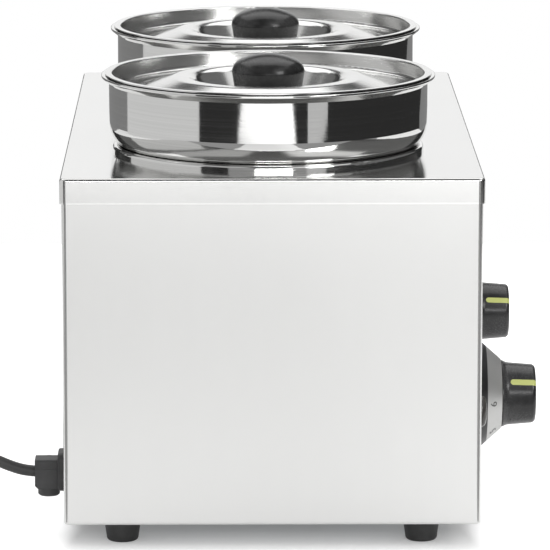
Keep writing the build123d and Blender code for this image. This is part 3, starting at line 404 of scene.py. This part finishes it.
def smooth_tube(name, points, diameter, material):
    """Round tube along a smooth curve that is led by points."""
    line = bpy.data.curves.new(name, "CURVE")
    line.dimensions = "3D"
    line.resolution_u = 8
    line.bevel_depth = diameter / 2
    line.bevel_resolution = 6
    line.use_fill_caps = True
    spline = line.splines.new("NURBS")
    spline.points.add(len(points) - 1)
    for point, spot in zip(spline.points, points):
        point.co = (*spot, 1)
    spline.order_u = 3
    spline.use_endpoint_u = True
    return add_piece(name, line, material)


route = [Vector((x, MIDDLE_Y + y, z)) for x, y, z in ROUTE]
coil_start = route[-1] + Vector((CORD, 0, 0))
coil, coil_end = coil_points(coil_start)
tail = Vector((coil_end.x - TAIL_LENGTH, coil_end.y, PLUG_Z))
route += coil
route += [coil_end + Vector((-back, 0, rise)) for back, rise in TAIL_STEPS]
route += [tail, tail - Vector((CORD, 0, 0))]

cord = smooth_tube("mains_cord", route, CORD, cord_rubber)
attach(cord, "housing")
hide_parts("cord_run", "cord_coil")


# The tie that holds the coil
TIE_HALF_WIDTH = 0.0126
TIE_HALF_HEIGHT = 0.0080
TIE_CORNER = 0.0040
TIE_BREADTH = 0.008
TIE_THICKNESS = 0.0008
TIE_CLEARANCE = 0.0001
CORNER_STEPS = 6


def strap(name, middle):
    """Closed band round the coil's side: a rounded rectangle seen along Y."""
    shape = bmesh.new()
    rings = []
    inner = TIE_CORNER - TIE_THICKNESS
    section = (TIE_CORNER, -1), (TIE_CORNER, 1), (inner, 1), (inner, -1)
    for side_x, side_z, start in ((1, -1, -90), (1, 1, 0), (-1, 1, 90), (-1, -1, 180)):
        corner_x = side_x * (TIE_HALF_WIDTH - TIE_CORNER)
        corner_z = side_z * (TIE_HALF_HEIGHT - TIE_CORNER)
        for step in range(CORNER_STEPS + 1):
            turn = radians(start + 90 * step / CORNER_STEPS)
            ring = []
            for reach, side in section:
                along, up = corner_x + reach * cos(turn), corner_z + reach * sin(turn)
                ring.append(shape.verts.new(middle + Vector((along, side * TIE_BREADTH / 2, up))))
            rings.append(ring)
    for first, second in zip(rings, rings[1:] + rings[:1]):
        for here in range(len(section)):
            after = (here + 1) % len(section)
            shape.faces.new((first[here], first[after], second[after], second[here]))
    bmesh.ops.recalc_face_normals(shape, faces=shape.faces)
    piece = add_mesh(name, shape, tie_black)
    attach(piece, "housing")
    return piece


tie_middle = Vector((coil_start.x + COIL_RADIUS - COIL_PITCH, coil_start.y + COIL_RADIUS,
                     TIE_HALF_HEIGHT + TIE_CLEARANCE))
tie = strap("cord_tie", tie_middle)


# Studio surfaces: a pale floor, and boards that show only as reflections
BLACK = (0, 0, 0, 1)
WHITE = (1, 1, 1, 1)


def camera_choice(tree, seen, otherwise):
    """One value where the camera looks straight at a surface, another for its light and reflections."""
    looked_at = add_node(tree, "ShaderNodeLightPath", {}, "Is Camera Ray")
    return add_node(tree, "ShaderNodeMix", {0: looked_at, 2: otherwise, 3: seen}, data_type="FLOAT")


def floor_material():
    """Pale floor that glows for reflections, and is white beside the object where the camera sees it."""
    material, tree, surface = start_material("studio_floor", {
        "Roughness": 0.8, "Specular IOR Level": 0.1, "Emission Color": WHITE,
    })
    place = coordinates(tree)
    parts = axes(tree, place)
    pale = ramp(tree, parts["X"], -0.25, -1.40, 0.78, 0.60)
    ahead = ramp(tree, parts["X"], -0.40, -1.60, 0.17, 0.24)
    further = ramp(tree, parts["X"], -1.76, -1.95, 0.0, 0.64)
    aside = ramp(tree, parts["Y"], 0.0, -0.22, 0.0, 0.15)
    lit = combine(tree, "ADD", combine(tree, "ADD", ahead, further), aside)

    # Painted shadow falloff: for the camera the floor's glow is weak next to the object and rises
    # outwards, which sets how the object's shadow fades
    from_middle = coordinates(tree, origin=(0, MIDDLE_Y, 0))
    outward = axes(tree, add_node(tree, "ShaderNodeVectorMath", {0: from_middle}, operation="ABSOLUTE"))
    ends = ramp(tree, outward["X"], 0.18, 0.29, 0.10, 0.74)
    flanks = ramp(tree, outward["Y"], 0.122, 0.142, 0.10, 0.62)
    beyond = ramp(tree, length_of(tree, place), 0.22, 0.60, 0.10, 1.0)
    seen = combine(tree, "MAXIMUM", combine(tree, "MAXIMUM", ends, flanks), beyond)

    feed(tree, surface.inputs["Base Color"], pale)
    feed(tree, surface.inputs["Emission Strength"], camera_choice(tree, seen, lit))
    return material


def start_board(name):
    """Black surface that only glows; the caller sets how much."""
    material, tree, surface = start_material(name, {
        "Base Color": BLACK, "Specular IOR Level": 0.0, "Emission Color": WHITE,
    })
    return material, tree, surface.inputs["Emission Strength"]


def board_material(name, strength):
    material, tree, glow = start_board(name)
    glow.default_value = strength
    return material


def ceiling_material():
    """Dim overhead in front of the object, lighter further out on both sides."""
    material, tree, glow = start_board("front_ceiling")
    place = coordinates(tree, (1, 1, 0))
    across = axes(tree, place)["Y"]
    away = length_of(tree, place)
    near = ramp(tree, away, 1.35, 1.55, 0.17, 0.13)
    outer = ramp(tree, away, 1.35, 1.55, 0.0, 1.0)
    right = ramp(tree, across, -0.40, -0.75, 0.0, 0.85)
    left = ramp(tree, across, 0.50, 0.70, 0.0, 0.42)
    sides = combine(tree, "MULTIPLY", outer, combine(tree, "ADD", right, left))
    feed(tree, glow, combine(tree, "ADD", near, sides))
    return material


def stage_plane(name, corners, material, seen=False):
    """One flat surface of the studio, which the camera sees directly only when it is told to."""
    data = bpy.data.meshes.new(name)
    data.from_pydata(corners, [], [tuple(range(len(corners)))])
    piece = add_piece(name, data, material)
    piece.visible_camera = seen


CEILING_Z = 2.32
APRON_Z = -0.002
CEILING = [(-3.2, -2.2), (0.03, -2.2), (0.03, 2.2), (-3.2, 2.2)]
APRON = [(-1.60, 0.34), (-0.25, 0.15), (-0.25, 1.3), (-0.75, 1.45), (-1.25, 1.05), (-1.60, 0.70)]
FLOOR = [
    (-3.6, -0.58), (-1.78, -0.58), (-1.62, -0.36), (-0.28, -0.16), (-0.28, -1.25), (0.90, -1.25),
    (0.90, 1.3), (-0.28, 1.3), (-0.28, 0.18), (-1.62, 0.38), (-1.78, 0.70), (-3.6, 0.70),
]
BACK_FLOOR = [
    (0.90, -0.95), (1.3, -1.25), (3.2, -1.3), (3.2, 2.2), (0.55, 2.2), (0.55, 1.3), (0.90, 1.3),
]

# Upright boards: two ends on the floor plan, lower and upper edge, and brightness
BOARDS = {
    "side_wall_1": ((-3.6, -3.1), (4.0, -3.1), 1.1, 3.4, 0.16),
    "side_wall_3": ((-3.6, 3.1), (4.0, 3.1), 1.1, 3.4, 0.16),
    "front_wall": ((-4.0, -2.2), (-4.0, 2.2), 0.0, 2.3, 0.34),
    "back_board": ((3.2, -1.3), (3.2, 1.3), 0.3, 1.6, 0.99),
    "left_board": ((-0.98, 1.0), (0.41, 1.0), 0.0, 1.0, 0.70),
    "grey_board": ((-1.6, -1.30), (-1.45, -0.66), 0.0, 0.6, 0.60),
}

stage_plane("front_ceiling", [(x, y, CEILING_Z) for x, y in CEILING], ceiling_material())
stage_plane("studio_floor", [(x, y, 0) for x, y in FLOOR], floor_material(), seen=True)
stage_plane("back_floor", [(x, y, 0) for x, y in BACK_FLOOR], board_material("back_floor", 0.24))
for name, side in (("apron_1", -1), ("apron_3", 1)):
    stage_plane(name, [(x, y * side, APRON_Z) for x, y in APRON], board_material(name, 0.34))
for name, (start, end, lower, upper, brightness) in BOARDS.items():
    corners = [(*start, lower), (*end, lower), (*end, upper), (*start, upper)]
    stage_plane(name, corners, board_material(name, brightness))


# Lights
def soft_light(name, place, target, width, height, power):
    """Rectangular lamp that faces its target."""
    lamp = bpy.data.lights.new(name, "AREA")
    lamp.shape = "RECTANGLE"
    lamp.size = width
    lamp.size_y = height
    lamp.energy = power
    holder = bpy.data.objects.new(name, lamp)
    holder.location = place
    direction = Vector(target) - Vector(place)
    holder.rotation_euler = direction.to_track_quat("-Z", "Y").to_euler()
    holder.visible_camera = False
    bpy.context.scene.collection.objects.link(holder)
    return holder


soft_light("key_top", (1.38, 0.1, 2.3), (1.38, 0.1, 0), 2.65, 3.6, 46)
soft_light("key_front", (-3.5, -0.2, 0.95), (0, 0, 0.1), 1.6, 0.36, 22)
floor_fill = soft_light("floor_fill", (-0.45, 0.1, 2.25), (-0.40, 0.1, 0), 1.7, 2.4, 18)
floor_fill.visible_glossy = False
soft_light("key_side", (-1.84, -1.44, 1.44), (0, 0, 0.3), 0.8, 0.7, 14)


# Surroundings: white for the camera, nearly dark in reflections, a little light for the rest
def studio_world():
    world = bpy.data.worlds.new("studio")
    world.use_nodes = True
    tree = world.node_tree
    dark = tree.nodes["Background"]
    dark.inputs["Color"].default_value = (0.03, 0.03, 0.03, 1)
    white = add_node(tree, "ShaderNodeBackground", {"Color": WHITE})
    fill = add_node(tree, "ShaderNodeBackground", {"Color": (0.12, 0.12, 0.12, 1)})
    reflected = add_node(tree, "ShaderNodeLightPath", {}, "Is Glossy Ray")
    looked_at = add_node(tree, "ShaderNodeLightPath", {}, "Is Camera Ray")
    unseen = add_node(tree, "ShaderNodeMixShader", {0: reflected, 1: fill, 2: dark.outputs[0]})
    shown = add_node(tree, "ShaderNodeMixShader", {0: looked_at, 1: unseen, 2: white})
    feed(tree, tree.nodes["World Output"].inputs["Surface"], shown)
    return world


bpy.context.scene.world = studio_world()

# Camera: the long lens of the photograph, near the floor, along the object's long side
CAMERA_PLACE = (-3.1072, 0.0368, 0.7010)
YAW = radians(0.563)
PITCH = radians(10.306)

camera_data = bpy.data.cameras.new("camera")
camera_data.sensor_width = 36
camera_data.lens = 299.3
camera_data.clip_end = 50
camera = bpy.data.objects.new("camera", camera_data)
camera.location = CAMERA_PLACE
aim = Vector((cos(PITCH) * cos(YAW), -cos(PITCH) * sin(YAW), -sin(PITCH)))
camera.rotation_euler = aim.to_track_quat("-Z", "Y").to_euler()
bpy.context.scene.collection.objects.link(camera)
bpy.context.scene.camera = camera

bpy.context.scene.view_settings.view_transform = "Standard"
